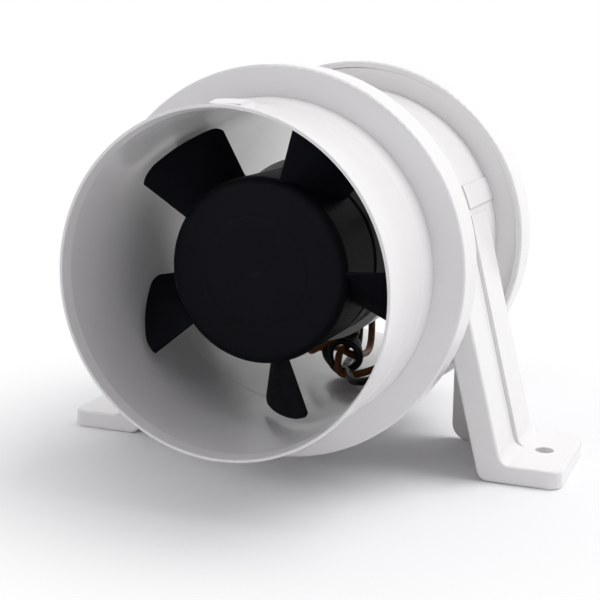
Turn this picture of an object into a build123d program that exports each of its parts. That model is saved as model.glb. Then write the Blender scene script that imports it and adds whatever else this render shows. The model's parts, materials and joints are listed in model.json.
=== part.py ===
from build123d import *
import math
import os

# In-line duct fan for a 4 inch hose, in millimetres.
# The fan axis runs along Y at axis_height above the ground. Air enters at -Y and leaves at +Y.
# The origin is on the ground, under the middle of the body. Most pieces are drawn about the Y axis
# itself, as outlines of (radius, y), and are lifted to axis_height when they are written.

# ---------------------------------------------------------------- driving dimensions
body_length = 172.0         # rim to rim
hose_bore = 101.6           # the hose that the spigots take
ground_clearance = 7.9      # ground to the lowest point of the collars
spigot_length = 39.4
spigot_straight = 30.0      # the stretch that the hose grips; it flares behind it
spigot_draft = 0.8          # how much the spigot's radius grows towards its collar
spigot_wall = 1.6
mouth_lead_in = 0.7         # how much wider the air passage is at each mouth
mouth_depth = 4.0           # how far in the widening reaches
rim_rounding = 0.4
collar_depth = 9.3          # how far the collars stand out from the band
collar_width = 14.6
collar_wall = 2.2
collar_rounding = 0.9
band_wall = 2.5
sleeve_wall = 1.1           # the tails of the two ducts, inside the band
sleeve_overlap = 6.0        # how far a tail reaches in past its collar
flange_thickness = 2.2
snap_bead = 0.5             # how far the inlet collar's bead covers the flange
bead_width = 1.3

leg_width = 42.5            # along the fan axis
leg_thickness = 8.3
leg_slope = 14.2            # degrees from upright
leg_inset = 0.8             # how far the leg's outer face lies inside the band's outside
leg_step = 1.2              # how far the rear half of the leg's outer face stands proud
step_y = 1.0                # where that half begins
leg_instep = 4.0            # rounding between leg and foot
foot_reach = 17.56          # the foot beyond the leg's outer face
foot_thickness = 6.0
foot_hole_inset = 9.3       # the hole's middle from the foot's end
foot_hole_radius = 3.0
foot_corner = 4.5
foot_rounding = 0.9
web_thickness = 3.0
web_inset = 9.4             # the web's upright inner edge, inside the band's outside
web_corner = 6.0

blade_count = 5
blade_tip_gap = 2.2         # blade tips to the air passage's wall
blade_tip_corner = 4.0      # rounding of each blade's two outer corners
blade_nose = 0.35           # half the thickness of the leading and trailing edges
blade_front_y = -57.2       # leading edge
blade_rear_y = -35.0        # trailing edge
blade_span_angle = 29.0     # degrees of turn from leading to trailing edge
blade_first_angle = -11.0   # the middle of the first blade, from +X towards +Z
blade_root_thickness = 2.6
blade_tip_thickness = 1.7
blade_camber = 1.3
hub_radius = 28.5
hub_wall = 2.2
hub_front_y = -59.6
hub_rear_y = -32.0
hub_crown = 1.4             # how far the hub's middle stands ahead of its edge

shaft_radius = 3.0
shaft_flat_length = 9.0
shaft_flat_depth = 0.5
bush_length = 6.0
washer_thickness = 0.6
running_gap = 0.35          # between parts that pass each other
insert_radius = 5.2
insert_length = 16.0
bush_radius = 6.2
can_wall = 1.5
can_length = 40.0
magnet_thickness = 4.2
magnet_length = 24.0
core_gap = 0.6              # armature to magnets
core_length = 16.0
end_turn_length = 3.6
slot_count = 7
commutator_radius = 7.6
commutator_riser = 0.6      # the segments' collar, out from the brush track
riser_length = 0.8
brush_section = 4.4         # along and across
brush_margin = 0.6          # brush track beyond the brush
brush_length = 7.5
brush_travel = 2.0
terminal_drop = 13.5        # terminals and grommet below the fan axis
terminal_width = 3.0
terminal_thickness = 0.8
terminal_reach = 4.0
motor_screw_circle = 13.0
slot_depth = 6.4            # the middle of each winding slot's pocket, in from the core's outside
slot_pocket = 3.4
magnet_sweep = 128          # degrees
holder_lid = 0.6

pod_wall = 1.9              # across the front of the pod
pod_side_wall = 3.0
pod_gap = 1.5               # impeller skirt to pod
strut_thickness = 3.0
strut_length = 24.0
strut_rise = 30.0           # degrees of each strut above or below level
ring_wall = 2.4
cover_length = 14.5
cover_taper = 6.5           # how much smaller the cover's rear is than the pod

lead_diameter = 2.6
lead_spacing = 4.8          # between the two leads at the grommet
conductor_radius = 0.8
stripped_length = 6.0
grommet_neck = 3.2          # half the height of the grommet's oval neck
grommet_lip = 1.1
hank_width = 20.0
hank_height = 15.4
hank_depth = 8.0
hank_x = 3.2                # the hank's middle
hank_front_y = 8.0

screw_radius = 1.45         # 3 mm self-tapping screws
pan_radius = 2.7
pan_height = 1.7
sunk_radius = 2.9
sunk_height = 1.5
outlet_screw_length = 10.0
pod_screw_grip = 8.0        # how far a pod screw reaches into its boss
motor_screw_length = 5.2
screw_clearance = 0.25      # round a shank in a through hole
thread_clearance = 0.03     # round a shank in its pilot hole
slide_clearance = 0.1       # between parts that slip together
running_clearance = 0.03    # round the shaft in its bushes
press_clearance = 0.01      # between parts pressed together
seat_clearance = 0.05       # between faces that are held against each other

# ---------------------------------------------------------------- worked-out places
rim_radius = hose_bore / 2
bore_radius = rim_radius - spigot_wall
mouth_radius = bore_radius + mouth_lead_in
band_radius = bore_radius + band_wall
sleeve_radius = bore_radius + sleeve_wall
collar_radius = band_radius + collar_depth
axis_height = collar_radius + ground_clearance
leg_face_radius = band_radius - leg_inset       # measured square from the fan axis
web_inner_x = band_radius - web_inset
blade_tip_radius = bore_radius - blade_tip_gap
half_length = body_length / 2
collar_face_y = half_length - spigot_length
collar_back_y = collar_face_y - collar_width
flange_outer_y = collar_back_y + bead_width + seat_clearance + flange_thickness
flange_inner_y = flange_outer_y - flange_thickness
channel_radius = collar_radius - collar_wall
flange_radius = channel_radius - slide_clearance
tail_y = collar_back_y - sleeve_overlap
boss_circle = (band_radius + channel_radius) / 2
boss_radius = 3.3
pod_radius = hub_radius
can_radius = pod_radius - pod_side_wall - slide_clearance
pod_front_y = hub_rear_y + pod_gap
can_front_y = pod_front_y + pod_wall + seat_clearance
can_rear_y = can_front_y + can_length
end_cap_thickness = 3.0
end_cap_rear_y = can_rear_y + end_cap_thickness
ring_radius = pod_radius + slide_clearance + ring_wall
ring_rear_y = can_rear_y
ring_front_y = ring_rear_y - strut_length
ear_circle = ring_radius + 2.2
ear_radius = 3.4
ear_thickness = 2.4
pod_flange_thickness = 2.4
seal_thickness = 1.0
pod_flange_y = ring_rear_y + seat_clearance
seal_y = pod_flange_y + pod_flange_thickness
cover_y = seal_y + seal_thickness
cover_rear_y = cover_y + cover_length
cover_wall = 1.8
cover_rear_radius = pod_radius - cover_taper
magnet_outer = can_radius - can_wall - slide_clearance
magnet_inner = magnet_outer - magnet_thickness
core_radius = magnet_inner - core_gap
slot_circle = core_radius - slot_depth
front_washer_y = can_front_y + bush_length + seat_clearance
core_front_y = front_washer_y + washer_thickness + running_gap + end_turn_length + seat_clearance
core_rear_y = core_front_y + core_length
commutator_front_y = core_rear_y + seat_clearance + end_turn_length + 0.1
brush_y = commutator_front_y + riser_length + 0.2 + brush_section / 2
commutator_rear_y = brush_y + brush_section / 2 + brush_margin
rear_washer_y = commutator_rear_y + running_gap
rear_bush_y = rear_washer_y + washer_thickness + seat_clearance
holder_bottom = commutator_radius + 1.0
holder_top = holder_bottom + brush_length + brush_travel + 2.6
shaft_front_y = hub_front_y + 7.0
shaft_rear_y = rear_bush_y + bush_length + 1.0
insert_front_y = shaft_front_y - 1.4
insert_rear_y = insert_front_y + insert_length
lead_start_y = end_cap_rear_y + terminal_reach


# ---------------------------------------------------------------- helpers
def outline(corners):
    """A flat face in (radius, y) from corners of (radius, y) or (radius, y, rounding)."""
    face = make_face(Polyline(*[corner[:2] for corner in corners], close=True))
    for corner in corners:
        if len(corner) == 3:
            nearest = face.vertices().sort_by_distance((corner[0], corner[1], 0))[0]
            face = fillet(nearest, corner[2])
    return face


def turned(corners):
    """A solid of revolution about the fan axis."""
    return revolve(outline(corners), Axis.Y, 360)


def tube(inner, outer, y0, y1):
    """A plain ring about the fan axis."""
    return turned([(inner, y0), (outer, y0), (outer, y1), (inner, y1)])


def rod(radius, y0, y1, x=0.0, z=0.0):
    """A round bar along Y."""
    return Pos(x, (y0 + y1) / 2, z) * Rot(90, 0, 0) * Cylinder(radius, abs(y1 - y0))


def lengthways(face, y0, y1):
    """A face drawn in (x, z), drawn out along Y."""
    return Pos(0, y1, 0) * Rot(90, 0, 0) * extrude(face, y1 - y0)


def at_angle(shape, angle):
    """Turn a shape drawn on the +X side about the fan axis, from +X towards +Z."""
    return Rot(0, -angle, 0) * shape


def angles(count, first):
    """Evenly spread angles round the fan axis."""
    return [first + index * 360 / count for index in range(count)]


def arc_block(inner, outer, y0, y1, sweep):
    """A stretch of ring, sweep degrees wide, centred on +X."""
    face = outline([(inner, y0), (outer, y0), (outer, y1), (inner, y1)])
    return at_angle(revolve(face, Axis.Y, sweep), -sweep / 2)


def screw(length, countersunk=False):
    """A screw along -Y, its head's seat at y = 0 (or its top, when countersunk), with a cross recess."""
    shank = rod(screw_radius, -length, 0)
    if countersunk:
        head = turned([(0, -sunk_height), (screw_radius, -sunk_height), (sunk_radius, 0), (0, 0)])
        top = 0.0
    else:
        head = turned([(0, 0), (pan_radius, 0), (pan_radius, pan_height, 0.7), (0, pan_height)])
        top = pan_height
    recess = Box(0.7, 1.8, 2.8) + Box(2.8, 1.8, 0.7)
    return shank + head - Pos(0, top, 0) * recess


def facing_front(shape):
    """The same shape turned to face -Y."""
    return mirror(shape, about=Plane.XZ)


def upside_down(shape):
    """The lower twin of a piece above the fan axis."""
    return Rot(0, 180, 0) * shape


# ---------------------------------------------------------------- ducts
outlet_screw_angles = angles(4, 45)


def duct(with_bead):
    """A hose spigot, its hollow collar and the tail inside the band, for the +Y end."""
    spigot = turned([
        (bore_radius, collar_face_y - 1), (bore_radius, half_length - mouth_depth),
        (mouth_radius, half_length, rim_rounding), (rim_radius, half_length, rim_rounding),
        (rim_radius, half_length - spigot_straight), (rim_radius + spigot_draft, collar_face_y - 1),
    ])
    face_wall = turned([
        (bore_radius, collar_face_y), (bore_radius, collar_face_y - collar_wall),
        (collar_radius, collar_face_y - collar_wall), (collar_radius, collar_face_y, collar_rounding),
    ])
    rim_wall = turned([
        (channel_radius, collar_face_y - collar_wall / 2), (channel_radius, collar_back_y),
        (collar_radius, collar_back_y, collar_rounding - 0.1), (collar_radius, collar_face_y - collar_wall / 2),
    ])
    tail = tube(bore_radius, sleeve_radius, tail_y, collar_face_y)
    shape = spigot + face_wall + rim_wall + tail
    if with_bead:
        bead_edge = flange_radius - snap_bead
        shape += turned([
            (channel_radius + 0.5, collar_back_y), (bead_edge, collar_back_y, 0.3),
            (bead_edge, collar_back_y + bead_width), (channel_radius + 0.5, collar_back_y + bead_width),
        ])
    return shape


def inlet_duct():
    """Snaps over the front flange; a raised key on top of the spigot shows which way is up."""
    key_width, key_length, key_height, key_setback, key_ramp, buried = 10.0, 10.6, 0.9, 5.0, 5.5, 1.0
    side = Polygon(
        (0, -buried), (0, 0), (key_ramp, key_height), (key_length, key_height), (key_length, -buried), align=None)
    key = extrude(Plane.YZ * side, key_width / 2, both=True)
    return facing_front(duct(True)) + Pos(0, key_setback - half_length, rim_radius) * key


def outlet_duct():
    """Screwed to the rear flange with countersunk screws through its collar."""
    shape = duct(False)
    hole = rod(screw_radius + screw_clearance, collar_face_y - collar_wall - 1, collar_face_y + 1, boss_circle)
    sink = Pos(boss_circle, collar_face_y, 0) * turned([
        (0, -sunk_height - seat_clearance), (screw_radius + seat_clearance, -sunk_height - seat_clearance),
        (sunk_radius + seat_clearance, 0), (sunk_radius + seat_clearance, 1), (0, 1),
    ])
    for angle in outlet_screw_angles:
        shape -= at_angle(hole + sink, angle)
    return shape


def outlet_screws():
    """Four countersunk screws that hold the outlet duct."""
    one = Pos(boss_circle, collar_face_y, 0) * screw(outlet_screw_length, countersunk=True)
    return [at_angle(one, angle) for angle in outlet_screw_angles]


# ---------------------------------------------------------------- centre body
strut_angles = (strut_rise, 180 - strut_rise, 180 + strut_rise, 360 - strut_rise)


def leg_face_x(offset, z):
    """Where a leg face that lies offset from the fan axis stands at height z."""
    slope = math.radians(leg_slope)
    return (offset - z * math.sin(slope)) / math.cos(slope)


foot_end_x = leg_face_x(leg_face_radius, -axis_height) + foot_reach


def leg_profile(outer_offset, instep):
    """The leg and its foot in (x, z), from a point inside the band down to the ground."""
    slope = math.radians(leg_slope)
    ground, foot_top = -axis_height, foot_thickness - axis_height
    inner_offset = leg_face_radius - leg_thickness
    inner_run = math.sqrt(sleeve_radius ** 2 - inner_offset ** 2)
    return outline([
        (leg_face_x(inner_offset, ground), ground, leg_instep), (foot_end_x, ground),
        (foot_end_x, foot_top), (leg_face_x(outer_offset, foot_top), foot_top, instep),
        (outer_offset * math.cos(slope), outer_offset * math.sin(slope)),
        (bore_radius * 0.8, 0),
        (inner_offset * math.cos(slope) + inner_run * math.sin(slope),
         inner_offset * math.sin(slope) - inner_run * math.cos(slope)),
    ])


def leg():
    """The +X leg with its foot, its rear web and the screw hole."""
    half_width = leg_width / 2
    ground = -axis_height
    shape = lengthways(leg_profile(leg_face_radius, leg_instep), -half_width, half_width)
    plan = extrude(RectangleRounded(2 * foot_end_x, leg_width, foot_corner), 2 * axis_height)
    shape = shape & Pos(0, 0, ground) * plan
    rims = shape.edges().filter_by(lambda edge: edge.center().X > foot_end_x - foot_corner)
    rims = rims.filter_by(lambda edge: abs(edge.center().Z - ground) < 0.01 or
                          abs(edge.center().Z - ground - foot_thickness) < 0.01)
    shape = fillet(rims, foot_rounding)
    raised = lengthways(leg_profile(leg_face_radius + leg_step, leg_instep - leg_step), step_y, half_width)
    raised &= Pos(0, 0, ground + foot_thickness) * Box(
        2 * (leg_face_x(leg_face_radius, ground) + leg_instep), leg_width, 4 * axis_height,
        align=(Align.CENTER, Align.CENTER, Align.MIN))
    web_x = leg_face_x(leg_face_radius - leg_thickness / 2, ground)
    web_top = -math.sqrt(sleeve_radius ** 2 - web_inner_x ** 2)
    web = lengthways(outline([
        (web_inner_x, web_top), (web_inner_x, ground, web_corner), (web_x, ground),
        (leg_face_x(leg_face_radius - leg_thickness / 2, web_top), web_top),
    ]), half_width - web_thickness, half_width)
    hole = Pos(foot_end_x - foot_hole_inset, 0, ground) * Cylinder(foot_hole_radius, 4 * foot_thickness)
    return shape + raised + web - hole


def strut():
    """One strut between the band and the motor ring, on the +X side, with its screw boss."""
    reach = band_radius - 0.8
    start = ring_radius - ring_wall / 2
    plate = Pos((start + reach) / 2, (ring_front_y + ring_rear_y) / 2, 0) * Box(
        reach - start, strut_length, strut_thickness)
    plate = fillet(plate.edges().filter_by(Axis.X), strut_thickness * 0.4)
    boss = rod(ear_radius, ring_rear_y - pod_screw_grip - 2, ring_rear_y, ear_circle)
    return plate + boss - rod(ring_radius - ring_wall, ring_front_y - 1, ring_rear_y + 1)


def flow_arrow():
    """A plain raised arrow on top of the band, pointing the way the air goes."""
    head = make_face(Polyline((-6.5, 3), (6.5, 3), (0, 13), close=True))
    flat = head + Pos(0, -5) * Rectangle(4.5, 17)
    raised_height = 0.6
    sunk = 1.4
    return Pos(0, 0, band_radius - sunk) * extrude(flat, sunk + raised_height)


def centre_body():
    """Band, flanges, legs and feet, with the struts and ring that carry the motor pod."""
    shape = tube(bore_radius, band_radius, -flange_outer_y, flange_outer_y)
    shape += leg() + mirror(leg(), about=Plane.YZ) + flow_arrow()
    pad = arc_block(band_radius - 0.6, band_radius + 0.5, 1.0, flange_inner_y + 0.2, 9.0)
    shape += at_angle(pad, strut_rise) + at_angle(pad, 180 - strut_rise)
    for y0 in (-flange_outer_y, flange_inner_y):
        shape += tube(band_radius - 0.5, flange_radius, y0, y0 + flange_thickness)
    shape -= rod(bore_radius, -half_length, half_length)
    counterbore = sleeve_radius + slide_clearance
    shape -= rod(counterbore, -half_length, -tail_y + seat_clearance)
    shape -= rod(counterbore, tail_y - seat_clearance, half_length)
    pilot = screw_radius + thread_clearance
    boss_end_y = collar_face_y - collar_wall - seat_clearance
    for angle in outlet_screw_angles:
        shape += at_angle(rod(boss_radius, flange_inner_y + 0.5, boss_end_y, boss_circle), angle)
        pilot_hole = rod(pilot, collar_face_y - outlet_screw_length - 0.5, boss_end_y + 1, boss_circle)
        shape -= at_angle(pilot_hole, angle)
    shape += tube(ring_radius - ring_wall, ring_radius, ring_front_y, ring_rear_y)
    for angle in strut_angles:
        shape += at_angle(strut(), angle)
        shape -= at_angle(rod(pilot, ring_rear_y - pod_screw_grip - 0.5, ring_rear_y + 1, ear_circle), angle)
    return shape


# ---------------------------------------------------------------- motor pod
def with_ears(shape, y0, y1, inside_radius):
    """A flange with its four screw ears and their holes, kept clear of inside_radius."""
    ear = rod(ear_radius, y0, y1, ear_circle)
    neck = Pos(ear_circle - ear_radius, (y0 + y1) / 2, 0) * Box(2 * ear_radius, y1 - y0, 2 * ear_radius)
    ear = ear + neck - rod(inside_radius, y0 - 1, y1 + 1)
    for angle in strut_angles:
        shape += at_angle(ear, angle)
        shape -= at_angle(rod(screw_radius + screw_clearance, y0 - 1, y1 + 1, ear_circle), angle)
    return shape


def motor_pod():
    """The black cup that holds the motor, open to the rear, with a flange behind the ring."""
    inner = can_radius + slide_clearance
    mouth = bush_radius + 3.4
    shape = turned([
        (mouth, pod_front_y), (pod_radius, pod_front_y, 1.2),
        (pod_radius, pod_flange_y), (ring_radius, pod_flange_y), (ring_radius, seal_y),
        (inner, seal_y), (inner, pod_front_y + pod_wall), (mouth, pod_front_y + pod_wall),
    ])
    shape = with_ears(shape, pod_flange_y, seal_y, pod_radius - 0.5)
    hole = rod(screw_radius + screw_clearance, pod_front_y - 1, can_front_y, motor_screw_circle)
    for angle in (0, 180):
        shape -= at_angle(hole, angle)
    return shape


def motor_screws():
    """Two pan-head screws through the front of the pod into the can."""
    one = Pos(motor_screw_circle, pod_front_y, 0) * facing_front(screw(motor_screw_length))
    return [at_angle(one, angle) for angle in (0, 180)]


def pod_seal():
    """A flat gasket between pod and cover."""
    shape = tube(can_radius + slide_clearance, ring_radius, seal_y, cover_y)
    return with_ears(shape, seal_y, cover_y, pod_radius - 0.5)


def grommet_oval(grow, y0, y1):
    """The flat oval of the grommet's neck, grown all round."""
    flat = SlotOverall(lead_spacing + 2 * grommet_neck + 2 * grow, 2 * grommet_neck + 2 * grow)
    return Pos(0, 0, -terminal_drop) * lengthways(flat, y0, y1)


def pod_cover():
    """The rear cap of the pod, tapering to the rear, with the grommet's hole low down."""
    inner = can_radius + slide_clearance
    ear_top = cover_y + ear_thickness
    shape = turned([
        (inner, cover_y), (ring_radius, cover_y), (ring_radius, ear_top, 0.4),
        (pod_radius, ear_top, 0.4), (cover_rear_radius, cover_rear_y, 3.0),
        (0, cover_rear_y), (0, cover_rear_y - cover_wall),
        (cover_rear_radius - cover_wall, cover_rear_y - cover_wall, 2.0), (inner - 0.6, ear_top + 0.6),
    ])
    shape = with_ears(shape, cover_y, ear_top, inner + 0.3)
    return shape - grommet_oval(seat_clearance, cover_rear_y - cover_wall - 1, cover_rear_y + 1)


def pod_screws():
    """Four pan-head screws through cover, gasket and pod flange into the strut bosses."""
    head_y = cover_y + ear_thickness
    one = Pos(ear_circle, head_y, 0) * screw(head_y - ring_rear_y + pod_screw_grip)
    return [at_angle(one, angle) for angle in strut_angles]


def lead_grommet():
    """A rubber grommet with a lip on each side of the cover's wall and a hole for each lead."""
    wall_y = cover_rear_y - cover_wall
    inner_y, outer_y = wall_y - seat_clearance, cover_rear_y + seat_clearance
    shape = grommet_oval(0, inner_y - grommet_lip, outer_y + grommet_lip)
    shape += grommet_oval(1.2, inner_y - grommet_lip, inner_y)
    shape += grommet_oval(1.4, outer_y, outer_y + grommet_lip)
    for side in (-1, 1):
        shape -= rod(lead_diameter / 2 + seat_clearance, wall_y - 5, cover_rear_y + 5,
                     side * lead_spacing / 2, -terminal_drop)
    return shape


# ---------------------------------------------------------------- motor
def motor_can():
    """The drawn steel can, closed at the front around the bush, open at the rear."""
    inner = can_radius - can_wall
    seat = bush_radius + seat_clearance
    seat_y = can_front_y + bush_length - 1
    shape = turned([
        (seat, can_front_y), (can_radius, can_front_y, 1.4), (can_radius, can_rear_y), (inner, can_rear_y),
        (inner, can_front_y + can_wall, 0.6), (seat + can_wall, can_front_y + can_wall),
        (seat + can_wall, seat_y), (seat, seat_y),
    ])
    hole = rod(screw_radius + thread_clearance, can_front_y - 1, can_front_y + 3, motor_screw_circle)
    for angle in (0, 180):
        shape -= at_angle(hole, angle)
    return shape


def field_magnets():
    """Two ferrite arcs inside the can."""
    y0 = (core_front_y + core_rear_y - magnet_length) / 2
    one = arc_block(magnet_inner, magnet_outer, y0, y0 + magnet_length, magnet_sweep)
    return [at_angle(one, angle) for angle in (0, 180)]


def bush(y0):
    """A sintered bronze bush for the shaft."""
    inner, y1 = shaft_radius + running_clearance, y0 + bush_length
    return turned([(inner, y0), (bush_radius, y0, 0.4), (bush_radius, y1, 0.4), (inner, y1)])


def motor_end_cap():
    """Closes the can at the rear; carries the rear bush, the brush holders and the terminals."""
    seat = bush_radius + seat_clearance
    spigot_outer = can_radius - can_wall - slide_clearance
    shape = turned([
        (seat, can_rear_y), (can_radius, can_rear_y, 0.4), (can_radius, end_cap_rear_y, 0.6),
        (seat, end_cap_rear_y),
    ])
    shape += tube(spigot_outer - 2.2, spigot_outer, can_rear_y - 2.0, can_rear_y + 0.5)
    for side in (-1, 1):
        shape -= Pos(side * lead_spacing / 2, can_rear_y, -terminal_drop) * Box(
            terminal_width + 2 * seat_clearance, 4 * end_cap_thickness,
            terminal_thickness + 2 * seat_clearance)
    return shape


def terminals():
    """Two flat terminals through the end cap, which the leads are soldered to."""
    return [Pos(side * lead_spacing / 2, (can_rear_y + lead_start_y) / 2, -terminal_drop) * Box(
        terminal_width, lead_start_y - can_rear_y, terminal_thickness) for side in (-1, 1)]


def noise_capacitor():
    """A disc capacitor across the terminals, to quieten the brushes."""
    disc_radius, disc_thickness, leg_length = 3.6, 2.2, 3.0
    disc_y = end_cap_rear_y + disc_thickness / 2 + 0.9
    terminal_top = -terminal_drop + terminal_thickness / 2
    disc = Pos(0, disc_y, terminal_top + leg_length / 2 + disc_radius) * Rot(90, 0, 0) * Cylinder(
        disc_radius, disc_thickness)
    disc = fillet(disc.edges(), 0.9)
    for side in (-1, 1):
        disc += Pos(side * lead_spacing * 0.4, disc_y, terminal_top + leg_length / 2) * Cylinder(0.35, leg_length)
    return disc


def brush_holder():
    """A square brass sleeve for the upper brush, closed at its outer end, on a foot to the end cap."""
    outer = brush_section + 1.4
    middle, height = (holder_bottom + holder_top) / 2, holder_top - holder_bottom
    sleeve_rear_y = brush_y + outer / 2
    sleeve = Pos(0, brush_y, middle) * Box(outer, outer, height)
    hole = brush_section + 2 * slide_clearance
    sleeve -= Pos(0, brush_y, middle - holder_lid) * Box(hole, hole, height)
    foot = Pos(0, (sleeve_rear_y + can_rear_y) / 2, middle) * Box(outer, can_rear_y - sleeve_rear_y, height)
    return sleeve + foot


def brush():
    """The upper carbon brush, hollowed to the commutator's curve."""
    below = 0.6
    block = Pos(0, brush_y, commutator_radius + (brush_length - below) / 2) * Box(
        brush_section, brush_section, brush_length + below)
    return block - rod(commutator_radius + seat_clearance, commutator_front_y - 1, commutator_rear_y + 1)


def brush_spring():
    """A small coil spring between the upper brush and the lid of its holder."""
    wire, coil_radius, turns = 0.2, 1.5, 5
    bottom = commutator_radius + brush_length + seat_clearance + wire
    top = holder_top - holder_lid - seat_clearance - wire
    path = Helix((top - bottom) / turns, top - bottom, coil_radius)
    section = Plane(origin=path @ 0, z_dir=path % 0) * Circle(wire)
    return Pos(0, brush_y, bottom) * sweep(section, path=path, is_frenet=True)


def motor_shaft():
    """Steel shaft with a flat on its nose for the impeller insert."""
    shape = turned([(0, shaft_front_y), (shaft_radius, shaft_front_y, 0.5),
                    (shaft_radius, shaft_rear_y, 0.5), (0, shaft_rear_y)])
    flat = Pos(shaft_radius, shaft_front_y + shaft_flat_length / 2, 0) * Box(
        2 * shaft_flat_depth, shaft_flat_length, 3 * shaft_radius)
    return shape - flat


def armature_core():
    """Stacked laminations with a slot between each pair of poles."""
    shape = tube(shaft_radius + press_clearance, core_radius, core_front_y, core_rear_y)
    mouth = Pos(core_radius, (core_front_y + core_rear_y) / 2, 0) * Box(7.4, core_length + 2, 2.2)
    pocket = rod(slot_pocket, core_front_y - 1, core_rear_y + 1, slot_circle)
    for angle in angles(slot_count, 90):
        shape -= at_angle(mouth + pocket, angle)
    return shape


def armature_windings():
    """Copper coils: a bundle in each slot, joined by the end turns in front and behind."""
    inner, outer = slot_circle - slot_pocket - 0.6, slot_circle + slot_pocket + 0.2

    def end_turns(y0):
        y1 = y0 + end_turn_length
        return turned([(inner, y0, 1.2), (outer, y0, 1.5), (outer, y1, 1.5), (inner, y1, 1.2)])

    shape = end_turns(core_front_y - seat_clearance - end_turn_length) + end_turns(core_rear_y + seat_clearance)
    bundle = rod(slot_pocket - slide_clearance, core_front_y - 2, core_rear_y + 2, slot_circle)
    for angle in angles(slot_count, 90):
        shape += at_angle(bundle, angle)
    return shape


def commutator():
    """Copper segments on the shaft, cut apart by narrow slots."""
    inner, riser = shaft_radius + press_clearance, commutator_radius + commutator_riser
    track_y = commutator_front_y + riser_length
    shape = turned([
        (inner, commutator_front_y), (riser, commutator_front_y), (riser, track_y),
        (commutator_radius, track_y), (commutator_radius, commutator_rear_y, 0.3), (inner, commutator_rear_y),
    ])
    cut_depth, cut_width = 3.0, 0.5
    cut = Pos(commutator_radius, (commutator_front_y + commutator_rear_y) / 2, 0) * Box(
        cut_depth, 4 * brush_section, cut_width)
    for angle in angles(slot_count, 90 + 180 / slot_count):
        shape -= at_angle(cut, angle)
    return shape


def thrust_washers():
    """Two washers between the bushes and the armature."""
    return [tube(shaft_radius + press_clearance, bush_radius - 0.6, y0, y0 + washer_thickness)
            for y0 in (front_washer_y, rear_washer_y)]


# ---------------------------------------------------------------- impeller
def blade():
    """One twisted, cambered blade whose middle lies on +X."""
    mid_y = (blade_front_y + blade_rear_y) / 2
    half_depth = (blade_rear_y - blade_front_y) / 2
    half_span = math.tan(math.radians(blade_span_angle / 2))

    def section(radius, thickness):
        half_chord = math.hypot(half_depth, radius * half_span)
        lean = math.atan2(radius * half_span, half_depth)
        front_low, front_high = (half_chord, -blade_nose), (half_chord, blade_nose)
        rear_low, rear_high = (-half_chord, -blade_nose), (-half_chord, blade_nose)
        edges = [
            ThreePointArc(rear_low, (0, blade_camber - thickness / 2), front_low),
            Line(front_low, front_high),
            ThreePointArc(front_high, (0, blade_camber + thickness / 2), rear_high),
            Line(rear_high, rear_low),
        ]
        # local x runs from the trailing edge forward, leaning round the axis
        plane = Plane(origin=(radius, mid_y, 0), x_dir=(0, -math.cos(lean), math.sin(lean)), z_dir=(1, 0, 0))
        return plane * make_face(edges)

    solid = loft([section(hub_radius - hub_wall * 0.7, blade_root_thickness),
                  section(blade_tip_radius + 3, blade_tip_thickness)])
    swept = turned([
        (0, blade_front_y - blade_nose), (blade_tip_radius, blade_front_y - blade_nose, blade_tip_corner),
        (blade_tip_radius, blade_rear_y + blade_nose, blade_tip_corner), (0, blade_rear_y + blade_nose),
    ])
    return solid & swept


def impeller():
    """Closed hub with a crowned face, a deep skirt and five blades."""
    inner = hub_radius - hub_wall
    edge_y = hub_front_y + hub_crown
    web_y = edge_y + hub_wall + 0.4
    boss_radius = insert_radius + 2.0
    shape = turned([
        (0, hub_front_y), (hub_radius * 0.5, hub_front_y + hub_crown * 0.12, 8.0),
        (hub_radius, edge_y, 3.0), (hub_radius, hub_rear_y, 0.4), (inner, hub_rear_y, 0.4),
        (inner, web_y, 1.5), (boss_radius, web_y), (boss_radius, insert_rear_y),
        (insert_radius, insert_rear_y), (insert_radius, insert_front_y), (0, insert_front_y),
    ])
    hollow = rod(inner + 0.3, hub_front_y - 5, hub_rear_y + 5)
    for angle in angles(blade_count, blade_first_angle):
        shape += at_angle(blade() - hollow, angle)
    return shape


def impeller_insert():
    """Brass bush moulded into the hub, bored for the shaft's nose with its flat."""
    bore = rod(shaft_radius + press_clearance, shaft_front_y - 0.1, insert_rear_y + 1)
    key_length = shaft_flat_length - 0.2
    key = Pos(shaft_radius + press_clearance, shaft_front_y + key_length / 2 - 0.1, 0) * Box(
        2 * shaft_flat_depth, key_length, 3 * shaft_radius)
    return rod(insert_radius, insert_front_y, insert_rear_y) - (bore - key)


# ---------------------------------------------------------------- leads
def corner_radii(points):
    """For each corner of a route, 0.45 of its shorter run over the tangent of half its turn."""
    radii = []
    for before, here, after in zip(points, points[1:], points[2:]):
        run_in, run_out = Vector(*here) - Vector(*before), Vector(*after) - Vector(*here)
        half_turn = math.radians(run_in.get_angle(run_out) / 2)
        radii.append(0.45 * min(run_in.length, run_out.length) / math.tan(half_turn))
    return radii


def lead_tube(name, points):
    """A lead along straight runs joined by tangent arcs."""
    radii = corner_radii(points)
    path = FilletPolyline(*points, radius=radii)
    section = Plane(origin=path @ 0, z_dir=path % 0) * Circle(lead_diameter / 2)
    shape = sweep(section, path=path)
    ideal = math.pi * (lead_diameter / 2) ** 2 * path.length
    print(name, "radii", [round(radius, 1) for radius in radii], "length", round(path.length, 1),
          "volume", round(shape.volume / ideal, 4))
    return shape


def lead_hank():
    """The outer shape of the leads' wound-up length, an upright ring resting on the duct's floor."""
    floor = -bore_radius + 0.5
    window_width, window_height = 5.0, 6.0
    ring = RectangleRounded(hank_width, hank_height, 6.5)
    ring -= Pos(1.5, 0) * RectangleRounded(window_width, window_height, 2.0)
    solid = Pos(hank_x, 0, floor + hank_height / 2) * lengthways(ring, hank_front_y, hank_front_y + hank_depth)
    return solid & rod(bore_radius - 0.3, 0, half_length)


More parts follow.
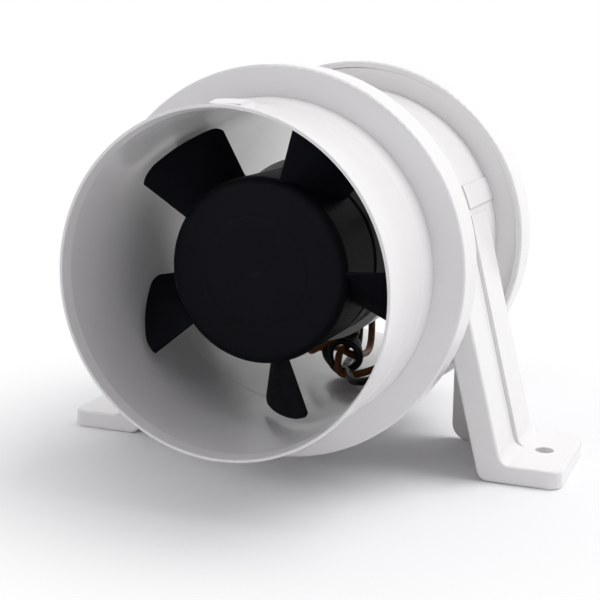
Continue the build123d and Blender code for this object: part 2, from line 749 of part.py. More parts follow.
hank_rear_y = hank_front_y + hank_depth
half_spacing = lead_spacing / 2

# Each lead leaves its terminal, passes the grommet, drops to the duct's floor and runs forward into the hank.
black_route = [
    (-half_spacing, lead_start_y, -terminal_drop), (-half_spacing, 43.0, -terminal_drop),
    (-0.6, 44.5, -45.8), (1.0, hank_rear_y, -45.0),
]
brown_route = [
    (half_spacing, lead_start_y, -terminal_drop), (half_spacing, 42.4, -terminal_drop),
    (5.0, 41.5, -45.4), (5.8, hank_rear_y, -44.6),
]
# The black tail leaves the front of the hank and the brown one its side; both lie on the duct's floor.
black_tail_route = [
    (8.6, hank_front_y, -44.2), (10.6, -2.0, -45.2), (15.6, -10.6, -44.4), (22.4, -15.4, -41.6),
]
brown_tail_route = [
    (hank_x + hank_width / 2, 12.0, -41.0), (22.5, 10.6, -41.2), (28.0, 2.0, -37.8), (31.5, -6.5, -34.4),
]


def stripped_end(route):
    """The bare copper strands at a lead's cut end."""
    before, end = Vector(*route[-2]), Vector(*route[-1])
    along = (end - before).normalized()
    return extrude(Plane(origin=end, z_dir=along) * Circle(conductor_radius), stripped_length)


# ---------------------------------------------------------------- writing
parts = {
    "inlet_duct": inlet_duct(),
    "outlet_duct": outlet_duct(),
    "outlet_screws": outlet_screws(),
    "centre_body": centre_body(),
    "motor_pod": motor_pod(),
    "motor_screws": motor_screws(),
    "pod_seal": pod_seal(),
    "pod_cover": pod_cover(),
    "pod_screws": pod_screws(),
    "lead_grommet": lead_grommet(),
    "motor_can": motor_can(),
    "field_magnets": field_magnets(),
    "front_bush": bush(can_front_y),
    "rear_bush": bush(rear_bush_y),
    "motor_end_cap": motor_end_cap(),
    "terminals": terminals(),
    "noise_capacitor": noise_capacitor(),
    "upper_brush_holder": brush_holder(),
    "lower_brush_holder": upside_down(brush_holder()),
    "upper_brush": brush(),
    "lower_brush": upside_down(brush()),
    "upper_brush_spring": brush_spring(),
    "lower_brush_spring": upside_down(brush_spring()),
    "motor_shaft": motor_shaft(),
    "armature_core": armature_core(),
    "armature_windings": armature_windings(),
    "commutator": commutator(),
    "thrust_washers": thrust_washers(),
    "impeller": impeller(),
    "impeller_insert": impeller_insert(),
    "black_lead": lead_tube("black_lead", black_route),
    "brown_lead": lead_tube("brown_lead", brown_route),
    "lead_hank": lead_hank(),
    "black_lead_tail": lead_tube("black_lead_tail", black_tail_route),
    "brown_lead_tail": lead_tube("brown_lead_tail", brown_tail_route),
    "black_lead_end": stripped_end(black_tail_route),
    "brown_lead_end": stripped_end(brown_tail_route),
}

os.makedirs("parts", exist_ok=True)
lift = Pos(0, 0, axis_height)
for node, shape in parts.items():
    if isinstance(shape, list):
        placed = Compound(children=[lift * solid for solid in shape])
    else:
        placed = lift * shape
    export_step(placed, f"parts/{node}.step")
print(len(parts), "nodes written")
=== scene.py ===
# %% [markdown]
# # An in-line duct fan, finished in Blender
# The real thing is a 12 volt blower for a 4 inch hose: two white spigots, a white band on two splayed legs,
# and a black five-blade impeller on a motor pod. Its construction comes ready-made from the CAD frame, at its
# real size. What is made here is the finish of each piece, the two loose leads, the light and the camera.

# %% Load the frame
import json
import math

import bpy
from mathutils import Matrix, Vector


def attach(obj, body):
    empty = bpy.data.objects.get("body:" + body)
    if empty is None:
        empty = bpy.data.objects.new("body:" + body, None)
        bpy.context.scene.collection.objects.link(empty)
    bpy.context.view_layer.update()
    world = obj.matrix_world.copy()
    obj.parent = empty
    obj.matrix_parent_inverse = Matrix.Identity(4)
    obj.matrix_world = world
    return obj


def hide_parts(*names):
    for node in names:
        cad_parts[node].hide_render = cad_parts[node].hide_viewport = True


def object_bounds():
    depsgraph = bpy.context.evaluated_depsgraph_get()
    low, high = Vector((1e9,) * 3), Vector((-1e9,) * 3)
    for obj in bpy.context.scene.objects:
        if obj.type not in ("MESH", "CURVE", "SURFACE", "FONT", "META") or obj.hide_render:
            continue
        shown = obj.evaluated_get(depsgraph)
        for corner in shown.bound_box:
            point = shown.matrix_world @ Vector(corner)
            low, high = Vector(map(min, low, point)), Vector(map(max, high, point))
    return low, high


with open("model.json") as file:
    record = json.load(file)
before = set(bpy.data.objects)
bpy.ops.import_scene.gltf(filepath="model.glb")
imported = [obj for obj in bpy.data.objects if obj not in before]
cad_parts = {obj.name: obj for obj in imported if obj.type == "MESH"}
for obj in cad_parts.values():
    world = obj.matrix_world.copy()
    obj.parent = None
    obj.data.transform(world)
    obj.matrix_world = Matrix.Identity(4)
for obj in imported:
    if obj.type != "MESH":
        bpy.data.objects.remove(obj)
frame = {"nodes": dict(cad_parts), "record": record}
cad_low, cad_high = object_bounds()
MM = 0.001
mounts = {mount["name"]: mount for mount in frame["record"]["mounts"]}
axis_z = mounts["outlet_spigot"]["pos_m"][2]
print(len(frame["nodes"]), "nodes; the fan axis is", round(axis_z / MM, 1), "mm up")

# %% [markdown]
# ## The camera
# A product like this is shot from a little above, a step to the right of its mouth. A lens of about 77 mm
# keeps the round mouth round without making the rear end look as big as the front. The camera is built from
# its three axes: right, up and back, turned a little about the line of sight.

# %% The camera
scene = bpy.context.scene
azimuth, elevation, roll = math.radians(21.39), math.radians(11.53), math.radians(0.70)
back = Vector((math.sin(azimuth) * math.cos(elevation), -math.cos(azimuth) * math.cos(elevation),
               math.sin(elevation)))
level_right = Vector((math.cos(azimuth), math.sin(azimuth), 0))
level_up = back.cross(level_right)
right = level_right * math.cos(roll) + level_up * math.sin(roll)
up = level_up * math.cos(roll) - level_right * math.sin(roll)
camera = bpy.data.objects.new("camera", bpy.data.cameras.new("camera"))
scene.collection.objects.link(camera)
camera.data.lens = 76.93
camera.data.sensor_width = 36
camera.matrix_world = Matrix((right, up, back)).transposed().to_4x4()
camera.location = Vector((149.77, -404.26, 137.41)) * MM
scene.camera = camera
scene.view_settings.view_transform = "Standard"
print("the camera stands", round(camera.location.length, 3), "m from the origin")

# %% [markdown]
# ## The leads
# A black and a brown lead, each PVC over copper strands and 2.6 mm thick, leave the pod's cover through a
# grommet and drop to the duct's floor. There they are wound into a small hank, and two short tails with
# stripped ends come out of it. Each lead is one NURBS curve with a round section, so it bends smoothly past the
# few points that lead it. The black lead's turns are wound by a loop, and the brown one binds them.

# %% Values of the leads
lead_diameter = 2.6 * MM
strand_diameter = 0.5 * MM
stripped_length = 6.0 * MM
# in mm from the fan axis: the middle of the hank (x, z), where its rearmost turn lies, and the size of a turn
hank_middle = (3.2, -41.0)
hank_rear_y, turn_pitch = 17.4, 2.7
turn_right, turn_right_growth = 4.3, 1.1
turn_left, turn_left_draw_in = 9.4, 1.9
turn_height, turn_height_draw_in = 6.4, 0.4


def from_axis(points):
    """Points in millimetres from the fan axis, as points of the frame in metres."""
    return [Vector((x * MM, y * MM, z * MM + axis_z)) for x, y, z in points]


# %% The black lead's turns
def hank_turns(turns, points_per_turn=14):
    """An upright oval coil, wound from the rear forward, drawn in on the left and let out on the right."""
    points = []
    for step in range(int(turns * points_per_turn) + 1):
        turn = step / points_per_turn
        angle = math.tau * turn - math.pi / 2
        if math.cos(angle) > 0:
            half_width = turn_right + turn_right_growth * turn
        else:
            half_width = turn_left - turn_left_draw_in * turn
        points.append((
            hank_middle[0] + half_width * math.cos(angle),
            hank_rear_y - turn_pitch * turn,
            hank_middle[1] + (turn_height - turn_height_draw_in * turn) * math.sin(angle),
        ))
    return points


# %% Both routes
black_route = [
    # out of the grommet, down behind the pod and forward along the floor
    (-2.4, 18.45, -13.5), (-2.4, 43.0, -13.5), (-0.6, 44.5, -45.8), (1.0, 21.0, -46.4),
    *hank_turns(3.1),
    # the tail: forward and to the right, up the curve of the wall
    (10.6, -2.0, -45.2), (15.6, -10.6, -44.4), (22.4, -15.4, -41.6),
]
brown_route = [
    # beside the black lead as far as the hank
    (2.4, 18.45, -13.5), (2.4, 42.4, -13.5), (5.0, 41.5, -45.4), (5.8, 22.0, -43.6),
    # forward through the window of the hank and leftwards behind its left side
    (8.0, 13.5, -41.4), (4.6, 12.5, -40.2), (-0.6, 20.4, -40.6), (-6.4, 20.0, -40.8),
    # round the left side and slantwise up across its front
    (-9.4, 13.0, -40.4), (-6.6, 6.2, -39.6), (-0.6, 5.6, -35.4), (4.6, 6.4, -31.8),
    # over the top, down behind, forward through the window and down the front
    (7.0, 12.0, -30.8), (6.2, 19.6, -33.6), (4.6, 14.0, -38.2), (3.9, 7.4, -38.2),
    (3.7, 5.4, -42.0), (4.2, 5.0, -46.0),
    # the tail: out of the hank's right side and up along the wall
    (9.0, 5.4, -46.6), (15.5, 9.6, -44.6), (22.5, 10.6, -41.2), (28.0, 2.0, -37.8), (31.5, -6.5, -34.4),
]


def nurbs_curve(name, points, diameter):
    """A round bar along one smooth NURBS spline. Its points carry the thickness, so that its box is true."""
    data = bpy.data.curves.new(name, "CURVE")
    data.dimensions = "3D"
    data.bevel_depth = 1.0
    data.bevel_resolution = 4
    data.resolution_u = 8
    data.use_fill_caps = True
    spline = data.splines.new("NURBS")
    spline.points.add(len(points) - 1)
    for point, place in zip(spline.points, points):
        point.co = (*place, 1)
        point.radius = diameter / 2
    spline.order_u = 3
    spline.use_endpoint_u = True
    curve = bpy.data.objects.new(name, data)
    scene.collection.objects.link(curve)
    return curve


black_cord = nurbs_curve("black_lead_wire", from_axis(black_route), lead_diameter)
brown_cord = nurbs_curve("brown_lead_wire", from_axis(brown_route), lead_diameter)


# %% The length of each lead
def centreline_length(curve):
    """The length of a curve's own line, measured on a copy with no thickness."""
    data = curve.data.copy()
    data.bevel_depth = 0
    line = bpy.data.objects.new("line", data)
    scene.collection.objects.link(line)
    mesh = bpy.data.meshes.new_from_object(line.evaluated_get(bpy.context.evaluated_depsgraph_get()))
    length = sum((mesh.vertices[a].co - mesh.vertices[b].co).length
                 for a, b in (edge.vertices for edge in mesh.edges))
    bpy.data.objects.remove(line)
    bpy.data.meshes.remove(mesh)
    return length


black_length = centreline_length(black_cord)
brown_length = centreline_length(brown_cord)
print("black lead", round(black_length, 4), "m; brown lead", round(brown_length, 4), "m")

# %% [markdown]
# ## The stripped ends
# Where the insulation is cut back, seven tinned copper strands show, twisted together. Six helices round a
# straight one give them their real lay, which a smooth cylinder would hide.


# %% Twisted strands
def stripped_strands(name, route):
    """Seven strands that go on in the direction of a route's last run."""
    before, end = from_axis(route)[-2:]
    along = (end - before).normalized()
    side = along.orthogonal().normalized()
    other = along.cross(side)
    data = bpy.data.curves.new(name, "CURVE")
    data.dimensions = "3D"
    data.bevel_depth = 1.0
    data.bevel_resolution = 2
    data.use_fill_caps = True
    steps, lay_turns = 10, 0.7
    for strand in range(7):
        radius = 0 if strand == 6 else strand_diameter
        spline = data.splines.new("POLY")
        spline.points.add(steps)
        for step in range(steps + 1):
            angle = math.tau * (strand / 6 + lay_turns * step / steps)
            place = end + along * (stripped_length * step / steps)
            place += (side * math.cos(angle) + other * math.sin(angle)) * radius
            spline.points[step].co = (*place, 1)
            spline.points[step].radius = strand_diameter / 2
    strands = bpy.data.objects.new(name, data)
    scene.collection.objects.link(strands)
    return strands


black_strands = stripped_strands("black_lead_strands", black_route)
brown_strands = stripped_strands("brown_lead_strands", brown_route)

for cord, strands, colour, route, length in (
        (black_cord, black_strands, "black", black_route, black_length),
        (brown_cord, brown_strands, "brown", brown_route, brown_length)):
    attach(cord, "housing")
    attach(strands, "housing")
    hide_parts(f"{colour}_lead", "lead_hank", f"{colour}_lead_tail")
    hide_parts(f"{colour}_lead_end")
    print(cord.name, "stands for", f"{colour}_lead", "and its half of the hank")

# %% [markdown]
# ## Materials: two helpers
# Colours are written as the sRGB hex values that a paint chart or a picture editor shows, and turned to the
# linear values that light is worked out in. Every pattern is laid out in the object's own metres, so its scale
# comes from a real size in millimetres.


# %% Colour and nodes
def linear(hex_colour):
    """An sRGB hex colour as the linear RGBA that a shader takes."""
    channels = [int(hex_colour[start:start + 2], 16) / 255 for start in (1, 3, 5)]
    return [c / 12.92 if c <= 0.04045 else ((c + 0.055) / 1.055) ** 2.4 for c in channels] + [1.0]


def add_node(tree, kind, inputs=None, **settings):
    """Adds a shader node: settings are its properties, and inputs gives its sockets values or links."""
    node = tree.nodes.new(kind)
    for name, value in settings.items():
        setattr(node, name, value)
    for socket, value in (inputs or {}).items():
        if isinstance(value, bpy.types.NodeSocket):
            tree.links.new(value, node.inputs[socket])
        else:
            node.inputs[socket].default_value = value
    return node


def new_material(name):
    """A material with its tree, its Principled shader and the place on the object, in metres."""
    material = bpy.data.materials.new(name)
    material.use_nodes = True
    tree = material.node_tree
    place = add_node(tree, "ShaderNodeTexCoord").outputs["Object"]
    return material, tree, tree.nodes["Principled BSDF"], place


def per_metre(size_mm):
    """The texture scale that makes a pattern's features this many millimetres wide."""
    return 1 / (size_mm * MM)


print("light grey #C0C0C0 is", [round(c, 3) for c in linear("#C0C0C0")[:3]], "in linear light")

# %% [markdown]
# ## White ASA
# Spigots, band and legs are moulded in ASA, a weatherproof cousin of ABS. Steel moulds that were polished, but
# not to a mirror, leave a clean gloss: reflections are soft-edged and waver a little where the plastic shrank
# over its ribs. A mould also rounds every corner, so the Bevel node rounds them for the light.


# %% White ASA
def moulded_white_asa():
    material, tree, shader, place = new_material("moulded_white_asa")
    cloud = add_node(tree, "ShaderNodeTexNoise", {"Vector": place, "Scale": per_metre(35), "Detail": 2})
    colour = add_node(tree, "ShaderNodeMix", {
        0: cloud.outputs["Fac"], 6: linear("#F4F3F2"), 7: linear("#EFEDEC")}, data_type="RGBA")
    gloss = add_node(tree, "ShaderNodeTexNoise", {"Vector": place, "Scale": per_metre(9), "Detail": 4})
    roughness = add_node(tree, "ShaderNodeMapRange", {
        "Value": gloss.outputs["Fac"], "From Min": 0.3, "From Max": 0.7, "To Min": 0.17, "To Max": 0.25})
    corners = add_node(tree, "ShaderNodeBevel", {"Radius": 0.45 * MM}, samples=4)
    # shrinkage over ribs: long shallow waves
    waves = add_node(tree, "ShaderNodeTexNoise", {"Vector": place, "Scale": per_metre(22), "Detail": 1})
    wavy = add_node(tree, "ShaderNodeBump", {
        "Height": waves.outputs["Fac"], "Distance": 0.03 * MM, "Normal": corners.outputs["Normal"]})
    # the mould's own skin is finer than 0.1 mm, so it is drawn at 0.4 mm to show at all
    skin = add_node(tree, "ShaderNodeTexNoise", {"Vector": place, "Scale": per_metre(0.4), "Detail": 2})
    surface = add_node(tree, "ShaderNodeBump", {
        "Height": skin.outputs["Fac"], "Distance": 0.001 * MM, "Normal": wavy.outputs["Normal"]})
    tree.links.new(colour.outputs[2], shader.inputs["Base Color"])
    tree.links.new(roughness.outputs["Result"], shader.inputs["Roughness"])
    tree.links.new(surface.outputs["Normal"], shader.inputs["Normal"])
    shader.inputs["IOR"].default_value = 1.52
    return material


# %% [markdown]
# ## Black nylon
# The impeller is glass-filled nylon. Its mould is spark-eroded, which leaves a fine even grain: the surface is
# satin, nearly black, and a touch blue. The grain swallows most of the shine, so its specular level is low. A
# faint ring on the hub's face shows where the mould's ejector sleeve met it.


# %% Black nylon
ring_radius, ring_reach, ring_depth = 17.0 * MM, 0.9 * MM, 0.10 * MM


def moulded_black_nylon():
    material, tree, shader, place = new_material("moulded_black_nylon")
    cloud = add_node(tree, "ShaderNodeTexNoise", {"Vector": place, "Scale": per_metre(14), "Detail": 3})
    colour = add_node(tree, "ShaderNodeMix", {
        0: cloud.outputs["Fac"], 6: linear("#0B0D14"), 7: linear("#07080D")}, data_type="RGBA")
    # spark erosion leaves pits of about 0.1 mm, drawn at 0.5 mm so that they show
    grain = add_node(tree, "ShaderNodeTexNoise", {"Vector": place, "Scale": per_metre(0.5), "Detail": 3})
    roughness = add_node(tree, "ShaderNodeMapRange", {
        "Value": grain.outputs["Fac"], "From Min": 0.3, "From Max": 0.7, "To Min": 0.40, "To Max": 0.56})
    # the witness ring: a shallow groove at three fifths of the hub's radius, round the fan axis
    split = add_node(tree, "ShaderNodeSeparateXYZ", {0: place})
    above = add_node(tree, "ShaderNodeMath", {0: split.outputs["Z"], 1: axis_z}, operation="SUBTRACT")
    flat = add_node(tree, "ShaderNodeCombineXYZ", {"X": split.outputs["X"], "Y": above.outputs[0]})
    radius = add_node(tree, "ShaderNodeVectorMath", {0: flat.outputs[0]}, operation="LENGTH")
    off_ring = add_node(tree, "ShaderNodeMath", {
        0: radius.outputs["Value"], 1: ring_radius}, operation="SUBTRACT")
    distance = add_node(tree, "ShaderNodeMath", {0: off_ring.outputs[0]}, operation="ABSOLUTE")
    ring = add_node(tree, "ShaderNodeMapRange", {
        "Value": distance.outputs[0], "From Min": 0.0, "From Max": ring_reach},
        interpolation_type="SMOOTHSTEP")
    corners = add_node(tree, "ShaderNodeBevel", {"Radius": 0.4 * MM}, samples=4)
    ringed = add_node(tree, "ShaderNodeBump", {
        "Height": ring.outputs["Result"], "Distance": ring_depth, "Normal": corners.outputs["Normal"]})
    surface = add_node(tree, "ShaderNodeBump", {
        "Height": grain.outputs["Fac"], "Distance": 0.035 * MM, "Normal": ringed.outputs["Normal"]})
    tree.links.new(colour.outputs[2], shader.inputs["Base Color"])
    tree.links.new(roughness.outputs["Result"], shader.inputs["Roughness"])
    tree.links.new(surface.outputs["Normal"], shader.inputs["Normal"])
    shader.inputs["IOR"].default_value = 1.5
    shader.inputs["Specular IOR Level"].default_value = 0.07
    return material


# %% [markdown]
# ## Black ABS
# Pod, cover, end cap: plain moulded ABS, smoother than the impeller, with the light catching it in broad soft
# patches.


# %% Black ABS
def moulded_black_abs():
    material, tree, shader, place = new_material("moulded_black_abs")
    cloud = add_node(tree, "ShaderNodeTexNoise", {"Vector": place, "Scale": per_metre(12), "Detail": 3})
    colour = add_node(tree, "ShaderNodeMix", {
        0: cloud.outputs["Fac"], 6: linear("#101113"), 7: linear("#0B0C0E")}, data_type="RGBA")
    skin = add_node(tree, "ShaderNodeTexNoise", {"Vector": place, "Scale": per_metre(0.6), "Detail": 2})
    roughness = add_node(tree, "ShaderNodeMapRange", {
        "Value": skin.outputs["Fac"], "To Min": 0.34, "To Max": 0.46})
    corners = add_node(tree, "ShaderNodeBevel", {"Radius": 0.3 * MM}, samples=4)
    surface = add_node(tree, "ShaderNodeBump", {
        "Height": skin.outputs["Fac"], "Distance": 0.012 * MM, "Normal": corners.outputs["Normal"]})
    tree.links.new(colour.outputs[2], shader.inputs["Base Color"])
    tree.links.new(roughness.outputs["Result"], shader.inputs["Roughness"])
    tree.links.new(surface.outputs["Normal"], shader.inputs["Normal"])
    shader.inputs["Specular IOR Level"].default_value = 0.1
    return material


# %% [markdown]
# ## Soft parts: rubber and PVC
# The gasket and the grommet are EPDM rubber, dull and slightly dusty. The leads are PVC: the insulation is
# extruded, so its faint ripple runs round it, and it shines more than rubber.


# %% EPDM rubber
def moulded_epdm_rubber():
    material, tree, shader, place = new_material("moulded_epdm_rubber")
    bloom = add_node(tree, "ShaderNodeTexNoise", {"Vector": place, "Scale": per_metre(3), "Detail": 5})
    colour = add_node(tree, "ShaderNodeMix", {
        0: bloom.outputs["Fac"], 6: linear("#1B1B1C"), 7: linear("#2A2A2B")}, data_type="RGBA")
    surface = add_node(tree, "ShaderNodeBump", {"Height": bloom.outputs["Fac"], "Distance": 0.03 * MM})
    tree.links.new(colour.outputs[2], shader.inputs["Base Color"])
    tree.links.new(surface.outputs["Normal"], shader.inputs["Normal"])
    shader.inputs["Roughness"].default_value = 0.75
    return material


# %% PVC insulation
def extruded_pvc(name, light, dark):
    material, tree, shader, place = new_material(name)
    scuffs = add_node(tree, "ShaderNodeTexNoise", {"Vector": place, "Scale": per_metre(2.5), "Detail": 4})
    colour = add_node(tree, "ShaderNodeMix", {
        0: scuffs.outputs["Fac"], 6: linear(light), 7: linear(dark)}, data_type="RGBA")
    roughness = add_node(tree, "ShaderNodeMapRange", {
        "Value": scuffs.outputs["Fac"], "From Min": 0.3, "From Max": 0.7, "To Min": 0.32, "To Max": 0.5})
    ripple = add_node(tree, "ShaderNodeTexNoise", {"Vector": place, "Scale": per_metre(0.8), "Detail": 1})
    surface = add_node(tree, "ShaderNodeBump", {"Height": ripple.outputs["Fac"], "Distance": 0.02 * MM})
    tree.links.new(colour.outputs[2], shader.inputs["Base Color"])
    tree.links.new(roughness.outputs["Result"], shader.inputs["Roughness"])
    tree.links.new(surface.outputs["Normal"], shader.inputs["Normal"])
    shader.inputs["Specular IOR Level"].default_value = 0.3
    return material


# %% [markdown]
# ## Metals
# A metal's colour is its reflection, so its base colour is light and its Metallic is 1. What tells one from the
# next is how it was made: screws are headed and tumbled, the can is drawn and zinc plated, springs are drawn
# wire, bushes are pressed powder full of pores, and laminations are a stack of half-millimetre sheets.


# %% One finish for worked metals
def worked_metal(name, light, dark, mark_mm, smooth, rough, depth_mm, stretch=(1, 1, 1)):
    """A metal with tool marks mark_mm wide, drawn out along the axes where stretch is under 1."""
    material, tree, shader, place = new_material(name)
    drawn_out = add_node(tree, "ShaderNodeMapping", {"Vector": place, "Scale": stretch})
    marks = add_node(tree, "ShaderNodeTexNoise", {
        "Vector": drawn_out.outputs[0], "Scale": per_metre(mark_mm), "Detail": 4})
    colour = add_node(tree, "ShaderNodeMix", {
        0: marks.outputs["Fac"], 6: linear(light), 7: linear(dark)}, data_type="RGBA")
    roughness = add_node(tree, "ShaderNodeMapRange", {
        "Value": marks.outputs["Fac"], "From Min": 0.3, "From Max": 0.7, "To Min": smooth, "To Max": rough})
    surface = add_node(tree, "ShaderNodeBump", {"Height": marks.outputs["Fac"], "Distance": depth_mm * MM})
    tree.links.new(colour.outputs[2], shader.inputs["Base Color"])
    tree.links.new(roughness.outputs["Result"], shader.inputs["Roughness"])
    tree.links.new(surface.outputs["Normal"], shader.inputs["Normal"])
    shader.inputs["Metallic"].default_value = 1
    return material


# %% Laminated steel and wound copper
def banded_metal(name, light, dark, band_mm, direction, rough, depth_mm):
    """A metal in even bands: the edges of stacked sheets, or wires that lie side by side. The dark in each
    groove is painted shade, and between sheets it is also their dark joint.
    """
    material, tree, shader, place = new_material(name)
    # one period of Blender's wave texture is tau / 20 of a unit at scale 1
    bands = add_node(tree, "ShaderNodeTexWave", {
        "Vector": place, "Scale": per_metre(band_mm) * math.tau / 20, "Distortion": 0.4},
        bands_direction=direction)
    # the dark colour lies in the grooves and the light one on the crests: painted shade between the wires, and
    # between the sheets painted shade together with their dark joint
    colour = add_node(tree, "ShaderNodeMix", {
        0: bands.outputs["Fac"], 6: linear(dark), 7: linear(light)}, data_type="RGBA")
    surface = add_node(tree, "ShaderNodeBump", {"Height": bands.outputs["Fac"], "Distance": depth_mm * MM})
    tree.links.new(colour.outputs[2], shader.inputs["Base Color"])
    tree.links.new(surface.outputs["Normal"], shader.inputs["Normal"])
    shader.inputs["Metallic"].default_value = 1
    shader.inputs["Roughness"].default_value = rough
    return material


# %% [markdown]
# ## Ceramic, carbon and epoxy
# Ferrite magnets are fired ceramic, ground on their faces. Brushes are pressed graphite with a grey sparkle.
# The disc capacitor is dipped in epoxy, which leaves a thick orange-brown gloss.


# %% Ferrite and carbon
def pressed_powder(name, light, dark, grain_mm, rough, metallic):
    """A matt pressed or fired powder with a speckle of grains."""
    material, tree, shader, place = new_material(name)
    grains = add_node(tree, "ShaderNodeTexVoronoi", {"Vector": place, "Scale": per_metre(grain_mm)})
    speckle = add_node(tree, "ShaderNodeSeparateColor", {0: grains.outputs["Color"]})
    colour = add_node(tree, "ShaderNodeMix", {
        0: speckle.outputs[0], 6: linear(dark), 7: linear(light)}, data_type="RGBA")
    surface = add_node(tree, "ShaderNodeBump", {"Height": speckle.outputs[0], "Distance": 0.02 * MM})
    tree.links.new(colour.outputs[2], shader.inputs["Base Color"])
    tree.links.new(surface.outputs["Normal"], shader.inputs["Normal"])
    shader.inputs["Roughness"].default_value = rough
    shader.inputs["Metallic"].default_value = metallic
    return material


# %% Dipped epoxy
def dipped_epoxy():
    material, tree, shader, place = new_material("dipped_epoxy")
    runs = add_node(tree, "ShaderNodeTexNoise", {"Vector": place, "Scale": per_metre(2.5), "Detail": 2})
    colour = add_node(tree, "ShaderNodeMix", {
        0: runs.outputs["Fac"], 6: linear("#B5702A"), 7: linear("#9A5A20")}, data_type="RGBA")
    surface = add_node(tree, "ShaderNodeBump", {"Height": runs.outputs["Fac"], "Distance": 0.08 * MM})
    tree.links.new(colour.outputs[2], shader.inputs["Base Color"])
    tree.links.new(surface.outputs["Normal"], shader.inputs["Normal"])
    shader.inputs["Roughness"].default_value = 0.22
    return material


# %% [markdown]
# ## Giving each piece its finish
# The record names one material slot for each node. A table from slot to finish is all that is left to write,
# and the nodes and the two leads take theirs from it.

# %% Slots and finishes
finishes = {
    "white_housing": moulded_white_asa(),
    "black_impeller": moulded_black_nylon(),
    "black_moulding": moulded_black_abs(),
    "seal_rubber": moulded_epdm_rubber(),
    "black_insulation": extruded_pvc("black_pvc", "#101114", "#0A0B0D"),
    "brown_insulation": extruded_pvc("brown_pvc", "#7C4B1E", "#613813"),
    "stainless_screw": worked_metal("tumbled_stainless_steel", "#CFCDC8", "#B4B2AE", 0.8, 0.22, 0.36, 0.006),
    "zinc_steel": worked_metal("zinc_plated_steel", "#C3C6CA", "#A6AAB0", 5.0, 0.26, 0.42, 0.01),
    "spring_steel": worked_metal("drawn_spring_steel", "#9C9A96", "#7E7C79", 0.4, 0.25, 0.4, 0.004),
    "bronze_bush": worked_metal("sintered_bronze", "#B98A55", "#7F5A33", 0.3, 0.4, 0.6, 0.02),
    "brass_contact": worked_metal("rolled_brass", "#D9B668", "#BE994C", 0.5, 0.2, 0.34, 0.004, (0.1, 1, 1)),
    "bare_copper": worked_metal("bare_copper", "#D9936A", "#B87350", 0.4, 0.24, 0.4, 0.005),
    "lamination_steel": banded_metal("stacked_lamination_steel", "#8E9196", "#4E5054", 0.5, "Y", 0.45, 0.03),
    "enamelled_copper": banded_metal("enamelled_copper_wire", "#B4552F", "#5E2513", 0.55, "Z", 0.28, 0.12),
    "ferrite": pressed_powder("ground_ferrite", "#37373A", "#2A2A2C", 0.25, 0.7, 0.0),
    "carbon": pressed_powder("pressed_graphite", "#3A3A3D", "#1B1B1D", 0.2, 0.5, 0.4),
    "capacitor_coat": dipped_epoxy(),
}
slot_of = {part["node"]: part["material_slot"] for part in frame["record"]["subparts"]}
for node, piece in frame["nodes"].items():
    piece.data.materials.clear()
    piece.data.materials.append(finishes[slot_of[node]])
for piece, slot in ((black_cord, "black_insulation"), (brown_cord, "brown_insulation"),
                    (black_strands, "bare_copper"), (brown_strands, "bare_copper")):
    piece.data.materials.append(finishes[slot])
print(len(finishes), "finishes on", len(frame["nodes"]), "nodes and 4 pieces of lead")

# %% [markdown]
# ## Floor and backdrop
# The fan stands on a white table that runs on into a white room. Close to the fan the table is an ordinary
# white surface, so it keeps the soft shadow. Farther out it melts into plain white for whatever looks straight
# at it or sees it mirrored, so no horizon shows. As a source of light it stays an ordinary table everywhere.

# %% Rays that show the backdrop
def looked_at(tree):
    """1 for a ray that sees a surface, straight or in a mirror or glass, and 0 for one that gathers light."""
    rays = add_node(tree, "ShaderNodeLightPath").outputs
    mirrored = add_node(tree, "ShaderNodeMath", {
        0: rays["Is Glossy Ray"], 1: rays["Is Transmission Ray"]}, operation="MAXIMUM")
    return add_node(tree, "ShaderNodeMath", {
        0: rays["Is Camera Ray"], 1: mirrored.outputs[0]}, operation="MAXIMUM").outputs[0]


# %% The table
table_radius = 4.0
shadow_reach, plain_white_reach = 0.06, 0.17    # metres from the middle: where the fade begins and ends
bpy.ops.mesh.primitive_circle_add(
    vertices=96, radius=table_radius, fill_type="NGON", location=(0, 0, -0.1 * MM))
table = bpy.context.object
table.name = "table"
white_table = bpy.data.materials.new("matt_white_table")
white_table.use_nodes = True
tree = white_table.node_tree
shader = tree.nodes["Principled BSDF"]
shader.inputs["Base Color"].default_value = linear("#F6F6F7")
shader.inputs["Roughness"].default_value = 0.9
shader.inputs["Specular IOR Level"].default_value = 0.0
place = add_node(tree, "ShaderNodeTexCoord").outputs["Object"]
outwards = add_node(tree, "ShaderNodeVectorMath", {0: place}, operation="LENGTH")
fade = add_node(tree, "ShaderNodeMapRange", {
    "Value": outwards.outputs["Value"], "From Min": shadow_reach, "From Max": plain_white_reach},
    interpolation_type="SMOOTHSTEP")
share = add_node(tree, "ShaderNodeMath", {
    0: fade.outputs["Result"], 1: looked_at(tree)}, operation="MULTIPLY")
plain_white = add_node(tree, "ShaderNodeEmission", {"Color": (1, 1, 1, 1), "Strength": 1.0})
blend = add_node(tree, "ShaderNodeMixShader", {
    0: share.outputs[0], 1: shader.outputs[0], 2: plain_white.outputs[0]})
tree.links.new(blend.outputs[0], tree.nodes["Material Output"].inputs["Surface"])
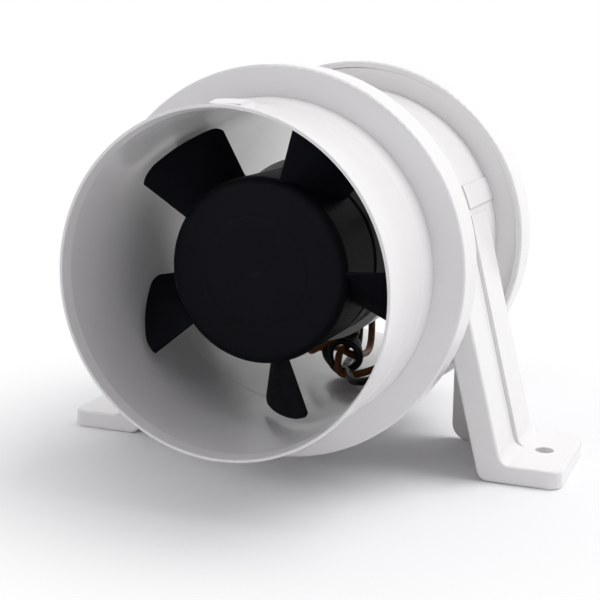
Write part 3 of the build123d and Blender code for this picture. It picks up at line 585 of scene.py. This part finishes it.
table.data.materials.append(white_table)
print("table", table_radius, "m round the object")

# %% [markdown]
# ## The room
# Looked at, straight or in a glossy face, the room is white. As light it is dimmer in front of the fan, where
# the camera's side of a studio is dark, and bright above and behind: that is what makes the faces turned to the
# viewer greyer than the tops.

# %% The room
front_wall, back_wall = "#8D8C93", "#DADADC"
room = bpy.data.worlds.new("room")
scene.world = room
room.use_nodes = True
tree = room.node_tree
direction = add_node(tree, "ShaderNodeTexCoord").outputs["Generated"]
split = add_node(tree, "ShaderNodeSeparateXYZ", {0: direction})
front_to_back = add_node(tree, "ShaderNodeMapRange", {
    "Value": split.outputs["Y"], "From Min": -0.9, "From Max": 0.5, "To Min": 0.0, "To Max": 1.0},
    interpolation_type="SMOOTHSTEP")
walls = add_node(tree, "ShaderNodeMix", {
    0: front_to_back.outputs["Result"], 6: linear(front_wall), 7: linear(back_wall)}, data_type="RGBA")
backdrop = add_node(tree, "ShaderNodeMix", {
    0: looked_at(tree), 6: walls.outputs[2], 7: (1, 1, 1, 1)}, data_type="RGBA")
tree.links.new(backdrop.outputs[2], tree.nodes["Background"].inputs["Color"])
print("the room is", [round(c, 2) for c in linear(front_wall)[:3]], "in front")

# %% [markdown]
# ## Lamps
# One large softbox above and behind the right shoulder of the fan lights its tops and right side; a weaker one
# from the front left fills the inside of the duct.


# %% Softboxes
def softbox(name, place, aim, size, watts):
    """A square area lamp that looks from place at aim."""
    lamp = bpy.data.objects.new(name, bpy.data.lights.new(name, "AREA"))
    lamp.data.size = size
    lamp.data.energy = watts
    lamp.location = place
    lamp.rotation_mode = "QUATERNION"
    lamp.rotation_quaternion = (Vector(aim) - Vector(place)).to_track_quat("-Z", "Y")
    scene.collection.objects.link(lamp)
    return lamp


middle = (cad_low + cad_high) / 2
key = softbox("key_softbox", (0.55, 0.25, 0.95), middle, 0.8, 7.0)
fill = softbox("fill_softbox", (-0.5, -0.9, 0.5), middle, 0.5, 1.5)
print("key", key.data.energy, "W, fill", fill.data.energy, "W")
